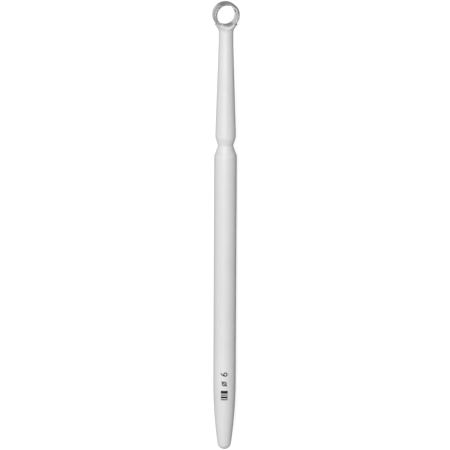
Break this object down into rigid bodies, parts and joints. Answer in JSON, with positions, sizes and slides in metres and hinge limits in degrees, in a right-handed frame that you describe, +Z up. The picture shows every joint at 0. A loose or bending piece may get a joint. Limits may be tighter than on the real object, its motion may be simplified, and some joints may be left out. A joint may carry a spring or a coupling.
{
  "type": "inoculating loop",
  "caption": "Thick one-piece plastic stick with a finger groove and a slim neck that carries a short bevelled steel ring, for picking up and streaking a film or colony.",
  "frame": {"origin": "on the bench that the stick lies on, under the middle of its length and under its own axis", "axes": "+X along the stick from the butt to the ring, +Z up from the bench, -Y the way the ring's bevelled face looks and, within 12 degrees, the printed mark"},
  "size_m": [0.14, 0.0069, 0.008],
  "materials": {
    "handle_plastic": "satin moulded light grey, faintly translucent",
    "ring_steel": "turned and ground stainless steel with polished bevels",
    "stem_steel": "plain drawn wire",
    "mark_ink": "flat black printed ink"
  },
  "bodies": {
    "root": {"handle": "handle_plastic", "loop_ring": "ring_steel", "ring_stem": "stem_steel", "size_mark": "mark_ink"}
  },
  "joints": []
}
